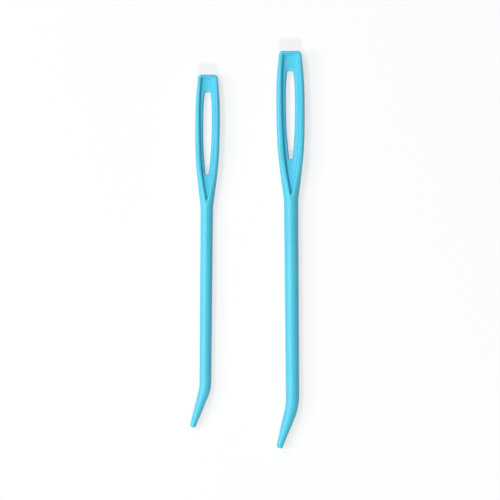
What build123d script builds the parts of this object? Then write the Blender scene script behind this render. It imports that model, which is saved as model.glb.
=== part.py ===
from build123d import *
from dataclasses import dataclass
import math
import os

# A set of two plastic yarn needles, one moulding each, lying side by side on their flat faces
# Lengths are in mm. X runs across the needles, Y along them towards the heads and Z up
# The origin is under the middle of the set, on the surface that the needles lie on

# Large needle: lengths from the head end along its straight axis, and of the bent tip
large_length = 140.0
large_head_length = 52.5
large_tip_length = 15.6

# Large needle: head, its recessed web and its eye
large_head_width = 9.9
large_head_end_width = 7.6
large_rail_width = 1.8
large_end_rim_width = 1.0
large_web_thickness = 1.6
large_pocket_foot_gap = 1.6
large_eye_setback = 6.0
large_eye_foot_web = 11.3
large_eye_width = 3.25

# Large needle: shaft, bend and tip, with angles in degrees
large_throat_diameter = 4.95
large_bend_diameter = 4.7
large_tip_root_diameter = 4.2
large_tip_diameter = 2.0
large_tip_round = 0.6
large_bend_radius = 20.0
large_bend_angle = 18.1
large_lean_angle = 0.40

# Small needle: lengths from the head end along its straight axis, and of the bent tip
small_length = 124.5
small_head_length = 46.6
small_tip_length = 14.5

# Small needle: head, its recessed web and its eye
small_head_width = 8.6
small_head_end_width = 6.7
small_rail_width = 1.45
small_end_rim_width = 0.9
small_web_thickness = 1.45
small_pocket_foot_gap = 2.0
small_eye_setback = 5.2
small_eye_foot_web = 7.8
small_eye_width = 3.1

# Small needle: shaft, bend and tip, with angles in degrees
small_throat_diameter = 4.3
small_bend_diameter = 4.1
small_tip_root_diameter = 3.8
small_tip_diameter = 1.9
small_tip_round = 0.85
small_bend_radius = 12.5
small_bend_angle = 18.0
small_lean_angle = -0.47

# Places: between the two axes at the head ends, and how far back the small head end lies
head_spacing = 29.0
head_setback = 8.3

# How much thicker the head is than the shaft at its throat, and rounding and draft, alike on both
head_extra_thickness = 0.05
head_corner_radius = 1.3
rail_outer_round = 0.6
rail_inner_round = 0.25
flare_length = 15.0
pocket_corner_radius = 0.6
pocket_draft = 0.3
pocket_ramp_length = 1.6
pocket_foot_width = 0.4
eye_head_radius = 0.8
eye_foot_radius = 0.3
eye_edge_round = 0.5

# How far cutting tools run past what they cut, and how far apart two places count as one
overrun = 1.0
seam = 0.05

# Outlines: each row is how far down the outline, then the half width there, as shares of the whole
head_outline_shares = ((0.2, 0.965), (0.42, 1.0), (0.66, 0.925), (0.8, 0.78), (0.93, 0.605))
pocket_outline_shares = ((0.15, 0.96), (0.32, 1.0), (0.6, 0.88), (0.77, 0.65), (0.89, 0.36))
pocket_head_width_share = 0.82
eye_outline_shares = ((0.12, 0.88), (0.45, 1.0), (0.7, 0.88), (0.86, 0.64))
eye_head_width_share = 0.66
eye_foot_width_share = 0.4
wall_share = 0.9


@dataclass
class Needle:
    """One needle's sizes. In its own frame the head end is at Y zero and the needle runs down Y."""

    length: float
    head_length: float
    tip_length: float
    head_width: float
    head_end_width: float
    rail_width: float
    end_rim_width: float
    web_thickness: float
    pocket_foot_gap: float
    eye_setback: float
    eye_foot_web: float
    eye_width: float
    throat_diameter: float
    bend_diameter: float
    tip_root_diameter: float
    tip_diameter: float
    tip_round: float
    bend_radius: float
    bend_angle: float
    lean_angle: float

    def __post_init__(self):
        """Works out what follows from the sizes."""
        self.thickness = self.throat_diameter + head_extra_thickness
        self.axis_height = self.thickness / 2
        self.pocket_half_width = self.head_width / 2 - self.rail_width
        self.pocket_length = self.head_length - self.end_rim_width - self.pocket_foot_gap
        self.pocket_depth = (self.thickness - self.web_thickness) / 2
        self.eye_start_y = -self.end_rim_width - self.eye_setback
        floor_length = self.pocket_length - pocket_ramp_length
        self.eye_length = floor_length - self.eye_setback - self.eye_foot_web
        self.ledge_width = self.pocket_half_width - pocket_draft - self.eye_width / 2


def outline_face(start_y, length, half_width, start_half, end_half, shares):
    """A face whose two sides follow the shares smoothly, and which is straight across at its ends."""
    side = [(half_width * wide, start_y - length * along) for along, wide in shares]
    side = [(start_half, start_y), *side, (end_half, start_y - length)]
    right = Spline(side)
    left = Spline([(-x, y) for x, y in side])
    start = Line(left @ 0, right @ 0)
    end = Line(left @ 1, right @ 1)
    return make_face([right, left, start, end])


def rounded_corners(face, y, radius):
    """The face with its two corners at y rounded, as far as the width there allows."""
    corners = face.vertices().filter_by_position(Axis.Y, y - seam, y + seam)
    half = abs(corners[0].X - corners[1].X) / 2
    return fillet(corners, min(radius, wall_share * half))


def rounded_edges(body, face, heights, radius):
    """The body with its level edges at these heights rounded, where they lie within the face's reach."""
    reach = face.bounding_box()
    edges = []
    for z in heights:
        level = body.edges().filter_by_position(Axis.Z, z - seam, z + seam)
        level = level.filter_by_position(Axis.X, reach.min.X - seam, reach.max.X + seam)
        edges += level.filter_by_position(Axis.Y, reach.min.Y - seam, reach.max.Y + seam)
    return fillet(edges, radius)


def flare(n):
    """A round body about the axis. It trims the flat head so that it runs out into the round shaft."""
    full = math.hypot(n.head_width, n.thickness) / 2
    profile = Polyline(
        (0, overrun),
        (full, overrun),
        (full, flare_length - n.head_length),
        (n.throat_diameter / 2, -n.head_length),
        (0, -n.head_length),
        close=True,
    )
    return Pos(Z=n.axis_height) * revolve(make_face(profile), Axis.Y)


def head_blank(n):
    """The head before its pockets and eye: a flat leaf with round edges that narrows to the shaft."""
    leaf = outline_face(
        start_y=0,
        length=n.head_length,
        half_width=n.head_width / 2,
        start_half=n.head_end_width / 2,
        end_half=n.throat_diameter / 2 + seam,
        shares=head_outline_shares,
    )
    leaf = rounded_corners(leaf, 0, head_corner_radius)
    slab = extrude(leaf, n.thickness)
    rim = slab.edges().filter_by(Plane.XY).filter_by_position(Axis.Y, seam - n.head_length, seam)
    slab = fillet(rim, min(rail_outer_round, wall_share * n.rail_width / 2))
    return slab & flare(n)


def pocket_face(n, rise):
    """The upper pocket's outline at a rise above its floor: its walls lean out and its foot ramps up."""
    level = 1 - rise / n.pocket_depth
    half = n.pocket_half_width - pocket_draft * level
    face = outline_face(
        start_y=-n.end_rim_width,
        length=n.pocket_length - pocket_ramp_length * level,
        half_width=half,
        start_half=half * pocket_head_width_share,
        end_half=pocket_foot_width / 2,
        shares=pocket_outline_shares,
    )
    face = rounded_corners(face, -n.end_rim_width, pocket_corner_radius)
    return Pos(Z=n.thickness - n.pocket_depth + rise) * face


def eye_face(n):
    """The eye's outline: a long slot, round at its head and narrow and square at its foot."""
    half = n.eye_width / 2
    face = outline_face(
        start_y=n.eye_start_y,
        length=n.eye_length,
        half_width=half,
        start_half=half * eye_head_width_share,
        end_half=half * eye_foot_width_share,
        shares=eye_outline_shares,
    )
    face = rounded_corners(face, n.eye_start_y, eye_head_radius)
    return rounded_corners(face, n.eye_start_y - n.eye_length, eye_foot_radius)


def head(n):
    """The finished head: rails all round, a thin web between them sunk from both faces, and the eye."""
    pocket = loft([pocket_face(n, 0), pocket_face(n, n.pocket_depth + overrun)], ruled=True)
    under_pocket = mirror(pocket, about=Plane.XY.offset(n.axis_height))
    eye = eye_face(n)
    body = head_blank(n) - pocket - under_pocket - extrude(eye, n.thickness)
    web_faces = (n.pocket_depth, n.thickness - n.pocket_depth)
    wall = wall_share * min(n.web_thickness / 2, n.ledge_width)
    body = rounded_edges(body, eye, web_faces, min(eye_edge_round, wall))
    mouth = pocket_face(n, n.pocket_depth)
    inner_round = min(rail_inner_round, n.rail_width - rail_outer_round)
    return rounded_edges(body, mouth, (0, n.thickness), inner_round)


def shaft_and_tip(n):
    """The round shaft, which tapers a little to the bend, then the bend and the tapered tip."""
    turn = math.radians(n.bend_angle)
    run = n.bend_radius * math.tan(turn / 2)
    down = Vector(0, -1, 0)
    tip_way = Vector(-math.sin(turn), -math.cos(turn), 0)
    corner = Vector(0, n.tip_length * math.cos(turn) - n.length, n.axis_height)
    throat = Plane(Vector(0, -n.head_length, n.axis_height), z_dir=down)
    bend_start = Plane(corner - down * run, z_dir=down)
    bend_end = Plane(corner + tip_way * run, z_dir=tip_way)
    tip_end = Plane(corner + tip_way * n.tip_length, z_dir=tip_way)

    shaft = loft([throat * Circle(n.throat_diameter / 2), bend_start * Circle(n.bend_diameter / 2)])
    tip = loft([bend_end * Circle(n.tip_root_diameter / 2), tip_end * Circle(n.tip_diameter / 2)])
    end_face = tip.faces().sort_by_distance(tip_end.origin)[0]
    tip = fillet(end_face.edges(), min(n.tip_round, wall_share * n.tip_diameter / 2))
    bend = sweep(
        sections=[bend_start * Circle(n.bend_diameter / 2), bend_end * Circle(n.tip_root_diameter / 2)],
        path=TangentArc([bend_start.origin, bend_end.origin], tangent=down),
        multisection=True,
    )
    return shaft + bend + tip


def placed_needle(n, x, y):
    """The whole needle, leaning a little about its head end, with that end at x and y."""
    return Location((x, y, 0), (0, 0, n.lean_angle)) * (head(n) + shaft_and_tip(n))


large = Needle(
    length=large_length,
    head_length=large_head_length,
    tip_length=large_tip_length,
    head_width=large_head_width,
    head_end_width=large_head_end_width,
    rail_width=large_rail_width,
    end_rim_width=large_end_rim_width,
    web_thickness=large_web_thickness,
    pocket_foot_gap=large_pocket_foot_gap,
    eye_setback=large_eye_setback,
    eye_foot_web=large_eye_foot_web,
    eye_width=large_eye_width,
    throat_diameter=large_throat_diameter,
    bend_diameter=large_bend_diameter,
    tip_root_diameter=large_tip_root_diameter,
    tip_diameter=large_tip_diameter,
    tip_round=large_tip_round,
    bend_radius=large_bend_radius,
    bend_angle=large_bend_angle,
    lean_angle=large_lean_angle,
)
small = Needle(
    length=small_length,
    head_length=small_head_length,
    tip_length=small_tip_length,
    head_width=small_head_width,
    head_end_width=small_head_end_width,
    rail_width=small_rail_width,
    end_rim_width=small_end_rim_width,
    web_thickness=small_web_thickness,
    pocket_foot_gap=small_pocket_foot_gap,
    eye_setback=small_eye_setback,
    eye_foot_web=small_eye_foot_web,
    eye_width=small_eye_width,
    throat_diameter=small_throat_diameter,
    bend_diameter=small_bend_diameter,
    tip_root_diameter=small_tip_root_diameter,
    tip_diameter=small_tip_diameter,
    tip_round=small_tip_round,
    bend_radius=small_bend_radius,
    bend_angle=small_bend_angle,
    lean_angle=small_lean_angle,
)
pieces = {
    "large_needle": placed_needle(large, head_spacing / 2, 0),
    "small_needle": placed_needle(small, -head_spacing / 2, -head_setback),
}

# The set is moved so that the origin is under the middle of the box that holds both needles
box = Compound(list(pieces.values())).bounding_box()
to_middle = Pos(-box.center().X, -box.center().Y, -box.min.Z)

os.makedirs("parts", exist_ok=True)
for name, piece in pieces.items():
    placed = to_middle * piece
    export_step(placed, f"parts/{name}.step")
    print(name, placed.bounding_box(), "volume", round(placed.volume, 1))
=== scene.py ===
import math
from dataclasses import dataclass

import bpy
import numpy as np
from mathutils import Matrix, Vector


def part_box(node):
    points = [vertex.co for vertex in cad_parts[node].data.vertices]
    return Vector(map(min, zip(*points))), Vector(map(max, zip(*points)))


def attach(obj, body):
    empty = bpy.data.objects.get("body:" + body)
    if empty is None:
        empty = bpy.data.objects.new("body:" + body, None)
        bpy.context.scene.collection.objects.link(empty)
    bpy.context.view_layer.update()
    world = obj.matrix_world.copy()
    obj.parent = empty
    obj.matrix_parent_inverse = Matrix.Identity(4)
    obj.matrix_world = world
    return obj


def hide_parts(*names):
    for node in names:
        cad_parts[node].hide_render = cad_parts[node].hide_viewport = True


# The needles' own sizes are in mm and turned into metres when their meshes are made
MM = 0.001
QUARTER_TURN = math.pi / 2

# The photograph's frame: 500 pixels square, seen from straight above
PHOTO_SIZE_PX = 500
PIXEL_M = 0.000353
VIEW_CENTRE = Vector((0.000925, -0.00007, 0.0025))
CAMERA_HEIGHT_M = 0.9
SENSOR_MM = 36.0
CLIP_NEAR_M = 0.01
CLIP_FAR_M = 20

# Light: each lamp's azimuth and elevation in degrees, its share of the light on the floor, and its width
LAMPS = {
    "left_lamp": (180, 36, 0.18, 0.90),
    "high_lamp": (178, 64, 0.26, 0.65),
    "front_lamp": (267, 45, 0.33, 0.36),
    "back_lamp": (128, 48, 0.20, 0.55),
}
LAMP_DISTANCE_M = 2.4
SKY_SHARE = 0.05
FLOOR_COLOUR = (0.97, 0.97, 0.975, 1)
FLOOR_GLOW_SHARE = 0.64
FLOOR_HALF_M = 1.5
FLOOR_ROUGHNESS = 0.9
FLOOR_SPECULAR = 0.1

# Plastic
PLASTIC_COLOUR = (0.092, 0.60, 0.785, 1)
PLASTIC_DEEP_COLOUR = (0.078, 0.567, 0.76, 1)
PLASTIC_SPECULAR = 0.4
PLASTIC_ROUGHNESS = (0.32, 0.44)
GRAIN_STRENGTH = 0.25
GRAIN_HEIGHT_M = 0.00002
WAVE_STRENGTH = 0.2
WAVE_HEIGHT_M = 0.00004
NOISE_LOW = 0.3
NOISE_HIGH = 0.7


@dataclass
class Needle:
    """One needle's sizes in mm, and its angles in degrees."""

    node: str
    length: float
    head_length: float
    tip_length: float
    head_width: float
    head_end_width: float
    thickness: float
    rail_width: float
    end_rim_width: float
    web_thickness: float
    pocket_foot_gap: float
    eye_setback: float
    eye_foot_web: float
    eye_width: float
    throat_diameter: float
    bend_diameter: float
    tip_root_diameter: float
    tip_diameter: float
    tip_round: float
    bend_radius: float
    bend_angle: float
    lean_angle: float


LARGE = Needle(
    node="large_needle", length=140.0, head_length=52.5, tip_length=15.6, head_width=9.9,
    head_end_width=7.6, thickness=5.0, rail_width=1.8, end_rim_width=1.0, web_thickness=1.6,
    pocket_foot_gap=1.6, eye_setback=6.0, eye_foot_web=11.3, eye_width=3.25, throat_diameter=4.95,
    bend_diameter=4.7, tip_root_diameter=4.2, tip_diameter=2.0, tip_round=0.6, bend_radius=20.0,
    bend_angle=18.1, lean_angle=0.40,
)
SMALL = Needle(
    node="small_needle", length=124.5, head_length=46.6, tip_length=14.5, head_width=8.6,
    head_end_width=6.7, thickness=4.35, rail_width=1.45, end_rim_width=0.9, web_thickness=1.45,
    pocket_foot_gap=2.0, eye_setback=5.2, eye_foot_web=7.8, eye_width=3.1, throat_diameter=4.3,
    bend_diameter=4.1, tip_root_diameter=3.8, tip_diameter=1.9, tip_round=0.85, bend_radius=12.5,
    bend_angle=18.0, lean_angle=-0.47,
)

# Roundings, drafts and the seam of both needles, in mm
HEAD_CORNER_RADIUS = 1.3
RAIL_OUTER_ROUND = 1.0
RAIL_INNER_ROUND = 0.5
END_OUTER_ROUND = 0.55
END_INNER_ROUND = 0.25
END_ROUND_REACH = 10.0
FLARE_LENGTH = 15.0
POCKET_CORNER_RADIUS = 0.6
POCKET_DRAFT = 0.3
POCKET_RAMP_LENGTH = 1.6
POCKET_FOOT_WIDTH = 0.4
POCKET_FOOT_ROUND = 0.17
FLOOR_ROUND = 0.16
EYE_HEAD_RADIUS = 0.8
EYE_FOOT_RADIUS = 0.3
EYE_DRAFT = 0.12
EYE_SIDE_REACH = 0.4
EYE_SIDE_DEPTH = 0.5
EYE_HEAD_REACH = 1.3
EYE_HEAD_DEPTH = 0.6
EYE_FOOT_REACH = 0.2
EYE_FOOT_DEPTH = 0.2
SEAM_WIDTH = 0.12
SEAM_HEIGHT = 0.05
SOFTENING = 1.6

# Outlines: each row is how far down the outline, then the half width there, as shares of the whole
HEAD_SHARES = ((0.2, 0.965), (0.42, 1.0), (0.66, 0.925), (0.8, 0.78), (0.93, 0.605))
POCKET_SHARES = ((0.15, 0.96), (0.32, 1.0), (0.6, 0.88), (0.77, 0.65), (0.89, 0.36))
POCKET_HEAD_SHARE = 0.82
EYE_SHARES = ((0.12, 0.88), (0.45, 1.0), (0.7, 0.88), (0.86, 0.64))
EYE_HEAD_SHARE = 0.66
EYE_FOOT_SHARE = 0.4
CREST_SHARE = 0.15

# How many ribs and steps the meshes have
END_RIBS = 5
CORNER_RIBS = 6
SIDE_RIBS = 84
FAN_RIBS = 13
TIP_CORNER_RIBS = 4
POCKET_FOOT_RIBS = 1
EYE_FOOT_CORNER_RIBS = 5
EYE_FOOT_RIBS = 4
EYE_EDGE_STEPS = 8
FLOOR_CORNER_STEPS = 3
LIP_STEPS = 5
WEB_STEPS = (0.2, 0.5, 0.8, 1.0)
RIM_FLAT_STEPS = 3
RIM_ARC_STEPS = 6
SHAFT_STEPS = 62
BEND_STEPS = 13
TIP_STEPS = 18
NOSE_STEPS = 6

# Where the rows from the rim to the seam begin to spread towards the throat, as a share of the ribs
SPREAD_START = 0.62

# How the head's width runs on into the shaft's: a soft corner in mm, and its reach in softenings
THROAT_SOFT_CORNER = 0.12
THROAT_BLEND_BEFORE = 4
THROAT_BLEND_SPAN = 5
THROAT_BLEND_PAST = 6

# How near to the seam the rim's rounding may come, in seam widths
SEAM_CLEARANCE = 3

# The least distance in mm at which two points are kept apart, and how far the tip's end is crowned
SAME_POINT = 1e-4
TIP_CROWN = 0.02


class Curve:
    """A smooth curve through a few points: a cubic spline that is straight at its ends."""

    def __init__(self, at, values):
        self.at = np.array(at, float)
        self.values = np.array(values, float)
        gaps = np.diff(self.at)
        slopes = np.diff(self.values) / gaps
        system = np.eye(len(self.at))
        right = np.zeros(len(self.at))
        for i in range(1, len(gaps)):
            system[i, i - 1:i + 2] = gaps[i - 1], 2 * (gaps[i - 1] + gaps[i]), gaps[i]
            right[i] = 6 * (slopes[i] - slopes[i - 1])
        self.curls = np.linalg.solve(system, right)

    def __call__(self, s):
        s = np.asarray(s, float)
        inside = np.clip(s, self.at[0], self.at[-1])
        i = np.clip(np.searchsorted(self.at, inside) - 1, 0, len(self.at) - 2)
        gap = self.at[i + 1] - self.at[i]
        a = (self.at[i + 1] - inside) / gap
        b = 1 - a
        value = a * self.values[i] + b * self.values[i + 1]
        value += ((a**3 - a) * self.curls[i] + (b**3 - b) * self.curls[i + 1]) * gap**2 / 6
        return value + (s - inside) * self._slope(inside)

    def _slope(self, s):
        i = np.clip(np.searchsorted(self.at, s) - 1, 0, len(self.at) - 2)
        gap = self.at[i + 1] - self.at[i]
        a = (self.at[i + 1] - s) / gap
        b = 1 - a
        slope = (self.values[i + 1] - self.values[i]) / gap
        return slope + ((3 * b**2 - 1) * self.curls[i + 1] - (3 * a**2 - 1) * self.curls[i]) * gap / 6

    def slope(self, s):
        return self._slope(np.clip(s, self.at[0], self.at[-1]))


class Outline:
    """Half of an outline seen from above: x is across, and s runs down from the needle's head end."""

    def __init__(self, start, length, half, start_half, end_half, shares, start_round, end_round=0.0):
        self.start, self.end = start, start + length
        self.start_round, self.end_round = start_round, end_round
        at = [start, *(start + length * along for along, _ in shares), self.end]
        self.side = Curve(at, [start_half, *(half * wide for _, wide in shares), end_half])

    def normal(self, s):
        slope = self.side.slope(s)
        size = np.hypot(1, slope)
        return np.stack([1 / size, -slope / size], -1)

    def touch(self, radius, line, way):
        """Where a corner's arc meets the side, the arc's centre and its angle there.

        way is 1 at the head and -1 at the foot.
        """
        s = line + way * radius
        for _ in range(8):
            s = line + way * radius + radius * self.normal(s)[1]
        across, along = self.normal(s)
        return s, np.array([self.side(s) - radius * across, line + way * radius]), math.atan2(along, across)

    def trace(self, end_ribs, corner_ribs, side_ribs, foot_corner_ribs=0, foot_ribs=0):
        """The outline's points and outward normals, from the middle of its head end to its foot."""
        first, centre, angle = self.touch(self.start_round, self.start, 1)
        points = [(centre[0] * i / end_ribs, self.start) for i in range(end_ribs)]
        normals = [(0.0, -1.0)] * end_ribs
        for turn in np.linspace(-QUARTER_TURN, angle, corner_ribs + 1)[:-1]:
            way = np.array([math.cos(turn), math.sin(turn)])
            points.append(centre + self.start_round * way)
            normals.append(way)
        last = self.end
        if foot_corner_ribs:
            last, foot_centre, foot_angle = self.touch(self.end_round, self.end, -1)
        side = np.linspace(first, last, side_ribs + 1)
        points += list(zip(self.side(side), side))
        normals += list(self.normal(side))
        if foot_corner_ribs:
            for turn in np.linspace(foot_angle, QUARTER_TURN, foot_corner_ribs + 1)[1:]:
                way = np.array([math.cos(turn), math.sin(turn)])
                points.append(foot_centre + self.end_round * way)
                normals.append(way)
            for i in range(1, foot_ribs + 1):
                points.append((foot_centre[0] * (1 - i / foot_ribs), self.end))
                normals.append((0.0, 1.0))
        return np.array(points, float), np.array(normals, float)


def smooth_step(value):
    value = np.clip(value, 0, 1)
    return value * value * (3 - 2 * value)


def rim_round(s, at_end, beyond):
    """The rounding of the rim at s, which is smaller at the thin head end."""
    return at_end + (beyond - at_end) * smooth_step(s / END_ROUND_REACH)


def softened(function, s, reach):
    """The function's mean over a short stretch each side of s, which rounds off its corners."""
    return np.mean([function(s + reach * share) for share in np.linspace(-1, 1, 9)], axis=0)


class Skin:
    """The outer surface before it is bent: a rounded rectangle at each s that runs out to a circle."""

    def __init__(self, n):
        self.n = n
        turn = math.radians(n.bend_angle)
        self.turn = turn
        self.run = n.bend_radius * math.tan(turn / 2)
        self.bend_start = n.length - n.tip_length * math.cos(turn) - self.run
        self.bend_end = self.bend_start + n.bend_radius * turn
        self.tip_end = self.bend_end + n.tip_length - self.run
        self.outline = Outline(
            0, n.head_length, n.head_width / 2, n.head_end_width / 2, n.throat_diameter / 2,
            HEAD_SHARES, HEAD_CORNER_RADIUS,
        )

    def _radius(self, s):
        n = self.n
        at = (n.head_length, self.bend_start, self.bend_end, self.tip_end)
        diameters = np.array((n.throat_diameter, n.bend_diameter, n.tip_root_diameter, n.tip_diameter))
        return np.interp(s, at, diameters / 2)

    def radius(self, s):
        reach = np.minimum(SOFTENING, np.maximum(self.tip_end - s, 0))
        return softened(self._radius, s, reach)

    def sizes(self, s):
        """The half width, half height and corner radius at s."""
        s = np.asarray(s, float)
        round_half = self.radius(s)
        head_half = self.outline.side(s)
        blend_start = self.n.head_length - THROAT_BLEND_BEFORE * SOFTENING
        beyond = smooth_step((s - blend_start) / (THROAT_BLEND_SPAN * SOFTENING))
        between = np.sqrt((head_half - round_half) ** 2 + THROAT_SOFT_CORNER**2)
        both = (head_half + round_half + between) / 2
        wide = head_half * (1 - beyond) + both * beyond
        past = s > self.n.head_length + THROAT_BLEND_PAST * SOFTENING
        wide = np.where(past, round_half, wide)
        flare = smooth_step((s - self.n.head_length + FLARE_LENGTH) / FLARE_LENGTH)
        high = self.n.thickness / 2 * (1 - flare) + round_half * flare
        least = np.minimum(wide, high)
        rim = rim_round(s, END_OUTER_ROUND, RAIL_OUTER_ROUND)
        corner = rim + (least - rim) * flare
        return wide, high, corner

    def arcs(self, s):
        wide, high, corner = self.sizes(s)
        return wide - corner, corner * QUARTER_TURN, high - corner

    def point(self, s, share):
        """The surface point at s, this share of the way from the top's middle round to the side's middle."""
        wide, high, corner = self.sizes(s)
        flat, arc, side = self.arcs(s)
        way = share * (flat + arc + side)
        angle = np.clip((way - flat) / corner, 0, QUARTER_TURN)
        x = np.where(way < flat, way, flat + corner * np.sin(angle))
        upper = high - corner + corner * np.cos(angle)
        z = np.where(way > flat + arc, high - corner - (way - flat - arc), upper)
        return np.stack([x, s + 0 * x, z], -1)

    def share_at(self, x, s):
        """The share at which the surface above this place lies."""
        wide, high, corner = self.sizes(s)
        flat, arc, side = self.arcs(s)
        angle = np.arcsin(np.clip((x - flat) / corner, 0, 1))
        return np.where(x < flat, x, flat + corner * angle) / (flat + arc + side)


def rounded(start, corner, end, steps):
    """Points on a soft corner from start to end, without the first."""
    shares = np.linspace(0, 1, steps + 1)[1:]
    return [start * (1 - t) ** 2 + corner * 2 * t * (1 - t) + end * t**2 for t in shares]


def by_way(normals, at_head, at_side, at_foot):
    """A size at each rib of an outline, which changes smoothly from its head end to its sides and foot."""
    way = normals[:, 1]
    headward = (at_head - at_side) * np.maximum(-way, 0) ** 2
    footward = (at_foot - at_side) * np.maximum(way, 0) ** 2
    return at_side + headward + footward


def lifted(plan, z):
    return np.concatenate([plan, np.full((len(plan), 1), 1.0) * np.reshape(z, (-1, 1))], 1)


def unit(v):
    return v / np.linalg.norm(v, axis=-1, keepdims=True)


def head_rings(n, skin):
    """The rings of a quarter of the head, from the eye's wall out to the seam: arrays of (x, s, z) by rib."""
    to_fan = END_RIBS + CORNER_RIBS + SIDE_RIBS
    pocket_half = n.head_width / 2 - n.rail_width
    pocket_length = n.head_length - n.end_rim_width - n.pocket_foot_gap
    floor_length = pocket_length - POCKET_RAMP_LENGTH
    eye_length = floor_length - n.eye_setback - n.eye_foot_web
    web = n.web_thickness / 2
    top = n.thickness / 2

    def pocket(half, length):
        return Outline(
            n.end_rim_width, length, half, half * POCKET_HEAD_SHARE, POCKET_FOOT_WIDTH / 2,
            POCKET_SHARES, POCKET_CORNER_RADIUS, POCKET_FOOT_ROUND,
        )

    pocket_side_ribs = SIDE_RIBS + FAN_RIBS - TIP_CORNER_RIBS - POCKET_FOOT_RIBS
    pocket_counts = (END_RIBS, CORNER_RIBS, pocket_side_ribs, TIP_CORNER_RIBS, POCKET_FOOT_RIBS)
    mouth, mouth_normal = pocket(pocket_half, pocket_length).trace(*pocket_counts)
    floor, _ = pocket(pocket_half - POCKET_DRAFT, floor_length).trace(*pocket_counts)
    eye_outline = Outline(
        n.end_rim_width + n.eye_setback, eye_length, n.eye_width / 2, n.eye_width / 2 * EYE_HEAD_SHARE,
        n.eye_width / 2 * EYE_FOOT_SHARE, EYE_SHARES, EYE_HEAD_RADIUS, EYE_FOOT_RADIUS,
    )
    eye_side_ribs = SIDE_RIBS + FAN_RIBS - EYE_FOOT_CORNER_RIBS - EYE_FOOT_RIBS
    eye_counts = (END_RIBS, CORNER_RIBS, eye_side_ribs, EYE_FOOT_CORNER_RIBS, EYE_FOOT_RIBS)
    eye, eye_normal = eye_outline.trace(*eye_counts)
    outer, outer_normal = skin.outline.trace(END_RIBS, CORNER_RIBS, SIDE_RIBS)
    ribs = len(mouth)
    assert len(floor) == ribs
    assert len(eye) == ribs
    assert len(outer) == to_fan + 1

    reach = by_way(eye_normal, EYE_HEAD_REACH, EYE_SIDE_REACH, EYE_FOOT_REACH)
    depth = by_way(eye_normal, EYE_HEAD_DEPTH, EYE_SIDE_DEPTH, EYE_FOOT_DEPTH)
    draft = by_way(eye_normal, 0.0, EYE_DRAFT, 0.0)
    rings = [lifted(eye - SEAM_HEIGHT * eye_normal, 0.0)]
    rings.append(lifted(eye, SEAM_WIDTH))
    wall_top = eye + draft[:, None] * eye_normal
    rings.append(lifted(wall_top, web - depth))
    for turn in np.linspace(0, QUARTER_TURN, EYE_EDGE_STEPS + 1)[1:]:
        inset = wall_top + reach[:, None] * (1 - math.cos(turn)) * eye_normal
        rings.append(lifted(inset, web - depth + depth * math.sin(turn)))

    corner = lifted(floor, web)
    edge = rings[-1]
    web_way = unit(corner - edge)
    web_end = corner - FLOOR_ROUND * web_way
    for share in WEB_STEPS:
        rings.append(edge + (web_end - edge) * share)

    inner_round = rim_round(mouth[:, 1:], END_INNER_ROUND, RAIL_INNER_ROUND)
    rim_plan = mouth + inner_round * mouth_normal
    side_ribs = np.arange(ribs) > END_RIBS + CORNER_RIBS
    rim_share = skin.share_at(rim_plan[:, 0], rim_plan[:, 1])
    mouth_share = skin.share_at(mouth[:, 0], mouth[:, 1])
    rim = np.where(side_ribs[:, None], skin.point(rim_plan[:, 1], rim_share), lifted(rim_plan, top))
    lip = np.where(side_ribs[:, None], skin.point(mouth[:, 1], mouth_share), lifted(mouth, top))
    lip[:, :2] = mouth
    wall_way = unit(lip - corner)
    rings += rounded(web_end, corner, corner + FLOOR_ROUND * wall_way, FLOOR_CORNER_STEPS)
    wall_end = lip - inner_round * wall_way
    rings.append((corner + FLOOR_ROUND * wall_way + wall_end) / 2)
    rings.append(wall_end)
    rings += rounded(wall_end, lip, rim, LIP_STEPS)

    flat_steps, arc_steps = RIM_FLAT_STEPS, RIM_ARC_STEPS
    steps = flat_steps + arc_steps + 2
    end_s = np.concatenate([outer[:, 1], np.full(FAN_RIBS, n.head_length)])
    throat = sum(skin.arcs(n.head_length))
    fan = np.concatenate([[1.0], np.linspace(1 - SEAM_WIDTH / throat, 0, FAN_RIBS)])
    end_share = np.concatenate([np.ones(to_fan), fan])
    index = np.arange(ribs)
    leaving = smooth_step((index - to_fan * SPREAD_START) / (to_fan * (1 - SPREAD_START)))

    def feature_share(step, s):
        flat, arc, side = skin.arcs(s)
        whole = flat + arc + side
        edge = np.minimum(flat + arc, whole - SEAM_CLEARANCE * SEAM_WIDTH) / whole
        crest =np.maximum(flat / whole, rim_share + (edge - rim_share) * CREST_SHARE)
        if step <= flat_steps:
            return rim_share + (crest - rim_share) * step / flat_steps
        if step <= flat_steps + arc_steps:
            return crest + (edge - crest) * (step - flat_steps) / arc_steps
        return 1 - SEAM_WIDTH / whole if step < steps else np.ones(len(s))

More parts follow.
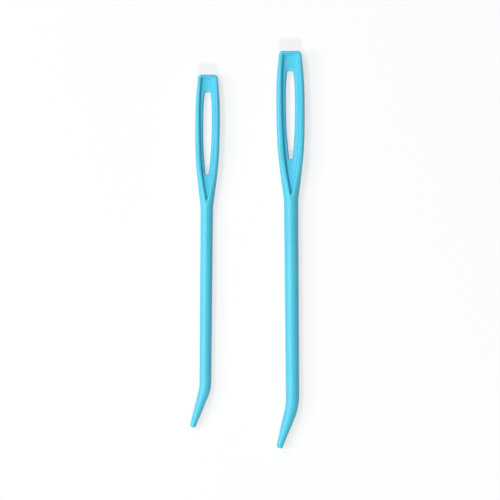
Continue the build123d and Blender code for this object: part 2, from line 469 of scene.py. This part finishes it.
    places = []
    for step in range(1, steps + 1):
        stepped = min(1, step / flat_steps)
        progress = stepped * (1 - leaving) + step / steps * leaving
        s = rim_plan[:, 1] + (end_s - rim_plan[:, 1]) * progress
        places.append((s, feature_share(step, s)))
    last_rim = rim_share[to_fan]
    for step, (s, share) in enumerate(places, 1):
        done = (share[to_fan] - last_rim) / (1 - last_rim)
        share = share.copy()
        share[to_fan:] = rim_share[to_fan:] + done * (end_share[to_fan:] - rim_share[to_fan:])
        ring = skin.point(s, share)
        k = to_fan - SIDE_RIBS + 1
        inner = slice(0, k)
        outer_round = rim_round(outer[inner, 1:], END_OUTER_ROUND, RAIL_OUTER_ROUND)
        base = outer[inner] - outer_round * outer_normal[inner]
        if step <= flat_steps:
            start = rim_plan[inner]
            ring[inner] = lifted(start + (base - start) * step / flat_steps, top)
        elif step <= flat_steps + arc_steps:
            turn = QUARTER_TURN * (step - flat_steps) / arc_steps
            out = base + outer_round * math.sin(turn) * outer_normal[inner]
            ring[inner] = lifted(out, top - outer_round * (1 - math.cos(turn)))
        else:
            ring[inner] = lifted(outer[inner], SEAM_WIDTH)
        if step == steps:
            ring[inner] = lifted(outer[inner] + SEAM_HEIGHT * outer_normal[inner], 0.0)
            ring[k:to_fan + 1, 0] += SEAM_HEIGHT
            ring[k:to_fan + 1, 2] = 0.0
        rings.append(ring)
    rings = np.array(rings)
    rings[:, 0, 0] = 0.0
    rings[:, -1, 0] = 0.0
    return rings, fan, to_fan


def shaft_rings(n, skin, first, fan):
    """The rings of a quarter of the shaft and tip, from the throat on."""
    nose = n.tip_round
    straight = np.linspace(n.head_length, skin.bend_start, SHAFT_STEPS + 2)[1:-1]
    bend = np.linspace(skin.bend_start, skin.bend_end, BEND_STEPS + 1)[:-1]
    tip = np.linspace(skin.bend_end, skin.tip_end - nose, TIP_STEPS)
    rings = [first]
    for s in np.concatenate([straight, bend, tip]):
        ring = skin.point(np.full(len(fan), s), fan)
        ring[0, 0] += SEAM_HEIGHT
        rings.append(ring)
    last = rings[-1]
    end_radius = float(skin.radius(skin.tip_end - nose))
    inner = end_radius - nose
    for turn in np.linspace(0, QUARTER_TURN, NOSE_STEPS + 1)[1:]:
        share = (inner + nose * math.cos(turn)) / end_radius
        ring = last * [share, 1, share]
        ring[:, 1] = skin.tip_end - nose + nose * math.sin(turn)
        rings.append(ring)
    for share in (0.5, 0.0):
        ring = rings[-1] * [0, 1, 0] + last * [share * inner / end_radius, 0, share * inner / end_radius]
        ring[:, 1] = skin.tip_end + TIP_CROWN * (1 - share)
        rings.append(ring)
    rings = np.array(rings)
    rings[:, 0, 2] = 0.0
    rings[:, -1, 0] = 0.0
    return rings


def bent(n, skin, points):
    """The straight needle's points moved onto its bent and leaning axis, as x, y and z."""
    x, s, z = points.T
    angle = np.clip((s - skin.bend_start) / n.bend_radius, 0, skin.turn)
    before = np.minimum(s, skin.bend_start)
    after = np.maximum(s - skin.bend_end, 0)
    centre_x = -n.bend_radius * (1 - np.cos(angle)) - after * np.sin(angle)
    centre_y = -before - n.bend_radius * np.sin(angle) - after * np.cos(angle)
    new_x = centre_x + x * np.cos(angle)
    new_y = centre_y - x * np.sin(angle)
    lean = math.radians(n.lean_angle)
    return np.stack([
        new_x * math.cos(lean) - new_y * math.sin(lean),
        new_x * math.sin(lean) + new_y * math.cos(lean),
        z,
    ], 1)


def needle_points_and_faces(n):
    skin = Skin(n)
    head, fan, to_fan = head_rings(n, skin)
    shaft = shaft_rings(n, skin, head[-1, to_fan:], fan)
    points, faces = [], []
    for grid in (head, shaft):
        rows, columns = grid.shape[:2]
        for mirror_x in (1, -1):
            for mirror_z in (1, -1):
                offset = sum(len(p) for p in points)
                points.append((grid * [mirror_x, 1, mirror_z]).reshape(-1, 3))
                for i in range(rows - 1):
                    for j in range(columns - 1):
                        quad = [offset + i * columns + j, offset + i * columns + j + 1,
                                offset + (i + 1) * columns + j + 1, offset + (i + 1) * columns + j]
                        if mirror_x * mirror_z < 0:
                            quad.reverse()
                        faces.append(quad)
    points = np.concatenate(points)
    _, first, where = np.unique(np.round(points / SAME_POINT), axis=0, return_index=True, return_inverse=True)
    where = np.ravel(where)
    kept = points[first]
    clean = []
    for face in faces:
        corners = []
        for v in face:
            v = int(where[v])
            if v not in corners:
                corners.append(v)
        if len(corners) > 2:
            clean.append(corners)
    return bent(n, skin, kept), clean


def make_needle(n, plastic):
    """The detailed needle, which replaces its node's solid and lies where that does."""
    points, faces = needle_points_and_faces(n)
    points = points * MM
    low, high = (np.array(corner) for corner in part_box(n.node))
    points += (low + high - points.min(0) - points.max(0)) / 2
    mesh = bpy.data.meshes.new(n.node + "_moulding")
    mesh.from_pydata([tuple(p) for p in points], [], faces)
    mesh.validate()
    mesh.shade_smooth()
    piece = bpy.data.objects.new(n.node + "_moulding", mesh)
    bpy.context.scene.collection.objects.link(piece)
    normals = piece.modifiers.new("weighted_normals", "WEIGHTED_NORMAL")
    normals.weight = 50
    mesh.materials.append(plastic)
    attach(piece, "root")
    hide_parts(n.node)
    return piece


def make_camera():
    """A camera straight above the set, whose frame spans the photograph's width at the needles."""
    data = bpy.data.cameras.new("photo_camera")
    data.sensor_width = SENSOR_MM
    data.lens = SENSOR_MM * CAMERA_HEIGHT_M / (PHOTO_SIZE_PX * PIXEL_M)
    data.clip_start = CLIP_NEAR_M
    data.clip_end = CLIP_FAR_M
    camera = bpy.data.objects.new("photo_camera", data)
    camera.location = VIEW_CENTRE + Vector((0, 0, CAMERA_HEIGHT_M))
    bpy.context.scene.collection.objects.link(camera)
    bpy.context.scene.camera = camera


def make_lamp(name, azimuth, elevation, share, width):
    """A square soft lamp that looks at the set. Azimuth 0 is at +X and 90 at +Y."""
    turn, rise = math.radians(azimuth), math.radians(elevation)
    data = bpy.data.lights.new(name, "AREA")
    data.shape = "SQUARE"
    data.size = width
    data.energy = share * (math.pi * LAMP_DISTANCE_M) ** 2 / math.sin(rise)
    lamp = bpy.data.objects.new(name, data)
    away = Vector((math.cos(rise) * math.cos(turn), math.cos(rise) * math.sin(turn), math.sin(rise)))
    lamp.location = VIEW_CENTRE + away * LAMP_DISTANCE_M
    lamp.rotation_euler = away.to_track_quat("Z", "Y").to_euler()
    bpy.context.scene.collection.objects.link(lamp)


def seen_directly(nodes, links):
    """A socket that is 1 for what the camera sees, also in a reflection or through glass."""
    path = nodes.new("ShaderNodeLightPath")
    either = nodes.new("ShaderNodeMath")
    either.operation = "MAXIMUM"
    links.new(path.outputs["Is Camera Ray"], either.inputs[0])
    links.new(path.outputs["Is Glossy Ray"], either.inputs[1])
    all_three = nodes.new("ShaderNodeMath")
    all_three.operation = "MAXIMUM"
    links.new(either.outputs[0], all_three.inputs[0])
    links.new(path.outputs["Is Transmission Ray"], all_three.inputs[1])
    return all_three.outputs[0]


def make_world():
    """A dim even sky, which shows as white behind the floor."""
    world = bpy.data.worlds.new("studio")
    world.use_nodes = True
    nodes, links = world.node_tree.nodes, world.node_tree.links
    nodes.clear()
    out = nodes.new("ShaderNodeOutputWorld")
    sky = nodes.new("ShaderNodeBackground")
    sky.inputs["Color"].default_value = (1, 1, 1, 1)
    sky.inputs["Strength"].default_value = SKY_SHARE
    white = nodes.new("ShaderNodeBackground")
    white.inputs["Color"].default_value = (1, 1, 1, 1)
    white.inputs["Strength"].default_value = 1.0
    mix = nodes.new("ShaderNodeMixShader")
    links.new(seen_directly(nodes, links), mix.inputs[0])
    links.new(sky.outputs[0], mix.inputs[1])
    links.new(white.outputs[0], mix.inputs[2])
    links.new(mix.outputs[0], out.inputs["Surface"])
    bpy.context.scene.world = world


def make_floor():
    """A plain white sheet, which keeps the needles' shadows."""
    half = FLOOR_HALF_M
    mesh = bpy.data.meshes.new("floor")
    corners = [(-half, -half, 0), (half, -half, 0), (half, half, 0), (-half, half, 0)]
    mesh.from_pydata(corners, [], [(0, 1, 2, 3)])
    floor = bpy.data.objects.new("floor", mesh)
    bpy.context.scene.collection.objects.link(floor)
    paper = bpy.data.materials.new("white_paper")
    paper.use_nodes = True
    nodes, links = paper.node_tree.nodes, paper.node_tree.links
    sheet = nodes["Principled BSDF"]
    sheet.inputs["Base Color"].default_value = FLOOR_COLOUR
    sheet.inputs["Roughness"].default_value = FLOOR_ROUGHNESS
    sheet.inputs["Specular IOR Level"].default_value = FLOOR_SPECULAR
    glow = nodes.new("ShaderNodeEmission")
    glow.inputs["Color"].default_value = (1, 1, 1, 1)
    glow.inputs["Strength"].default_value = 1.0
    amount = nodes.new("ShaderNodeMath")
    amount.operation = "MULTIPLY"
    amount.inputs[1].default_value = FLOOR_GLOW_SHARE
    links.new(seen_directly(nodes, links), amount.inputs[0])
    mix = nodes.new("ShaderNodeMixShader")
    links.new(amount.outputs[0], mix.inputs[0])
    links.new(sheet.outputs[0], mix.inputs[1])
    links.new(glow.outputs[0], mix.inputs[2])
    links.new(mix.outputs[0], nodes["Material Output"].inputs["Surface"])
    mesh.materials.append(paper)


def make_noise(nodes, links, place, scale, detail, stretch=(1, 1, 1)):
    """A noise texture over the needle's own place in metres. scale is in marks to a metre."""
    mapping = nodes.new("ShaderNodeMapping")
    mapping.inputs["Scale"].default_value = stretch
    links.new(place, mapping.inputs["Vector"])
    noise = nodes.new("ShaderNodeTexNoise")
    noise.inputs["Scale"].default_value = scale
    noise.inputs["Detail"].default_value = detail
    links.new(mapping.outputs[0], noise.inputs["Vector"])
    return noise.outputs["Fac"]


def make_range(nodes, links, value, low, high):
    """Spreads a noise's usual span of values from low to high."""
    spread = nodes.new("ShaderNodeMapRange")
    spread.inputs["From Min"].default_value = NOISE_LOW
    spread.inputs["From Max"].default_value = NOISE_HIGH
    spread.inputs["To Min"].default_value = low
    spread.inputs["To Max"].default_value = high
    links.new(value, spread.inputs["Value"])
    return spread.outputs[0]


def make_plastic():
    """Cyan moulded plastic: satin, with faint flow marks, an uneven gloss and a fine mould texture."""
    plastic = bpy.data.materials.new("needle_plastic")
    plastic.use_nodes = True
    nodes, links = plastic.node_tree.nodes, plastic.node_tree.links
    shader = nodes["Principled BSDF"]
    place = nodes.new("ShaderNodeTexCoord").outputs["Object"]
    flow = make_noise(nodes, links, place, scale=260, detail=3, stretch=(1, 0.22, 1))
    tint = nodes.new("ShaderNodeMix")
    tint.data_type = "RGBA"
    links.new(make_range(nodes, links, flow, 0, 1), tint.inputs["Factor"])
    tint.inputs["A"].default_value = PLASTIC_COLOUR
    tint.inputs["B"].default_value = PLASTIC_DEEP_COLOUR
    links.new(tint.outputs["Result"], shader.inputs["Base Color"])
    gloss = make_noise(nodes, links, place, scale=900, detail=4)
    links.new(make_range(nodes, links, gloss, *PLASTIC_ROUGHNESS), shader.inputs["Roughness"])
    grain = make_noise(nodes, links, place, scale=3500, detail=2)
    fine = nodes.new("ShaderNodeBump")
    fine.inputs["Strength"].default_value = GRAIN_STRENGTH
    fine.inputs["Distance"].default_value = GRAIN_HEIGHT_M
    links.new(grain, fine.inputs["Height"])
    waves = make_noise(nodes, links, place, scale=300, detail=1, stretch=(1, 0.4, 1))
    broad = nodes.new("ShaderNodeBump")
    broad.inputs["Strength"].default_value = WAVE_STRENGTH
    broad.inputs["Distance"].default_value = WAVE_HEIGHT_M
    links.new(waves, broad.inputs["Height"])
    links.new(fine.outputs[0], broad.inputs["Normal"])
    links.new(broad.outputs[0], shader.inputs["Normal"])
    shader.inputs["Specular IOR Level"].default_value = PLASTIC_SPECULAR
    return plastic


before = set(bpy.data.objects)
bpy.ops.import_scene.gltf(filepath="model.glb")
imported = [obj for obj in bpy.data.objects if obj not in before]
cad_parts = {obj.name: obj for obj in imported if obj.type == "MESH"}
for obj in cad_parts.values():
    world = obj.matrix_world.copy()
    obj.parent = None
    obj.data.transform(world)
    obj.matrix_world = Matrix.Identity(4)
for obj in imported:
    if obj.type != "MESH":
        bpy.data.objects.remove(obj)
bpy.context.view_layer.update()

bpy.context.scene.view_settings.view_transform = "Standard"
make_camera()
make_world()
make_floor()
for name, (azimuth, elevation, share, width) in LAMPS.items():
    make_lamp(name, azimuth, elevation, share, width)
plastic = make_plastic()
for needle in (LARGE, SMALL):
    make_needle(needle, plastic)
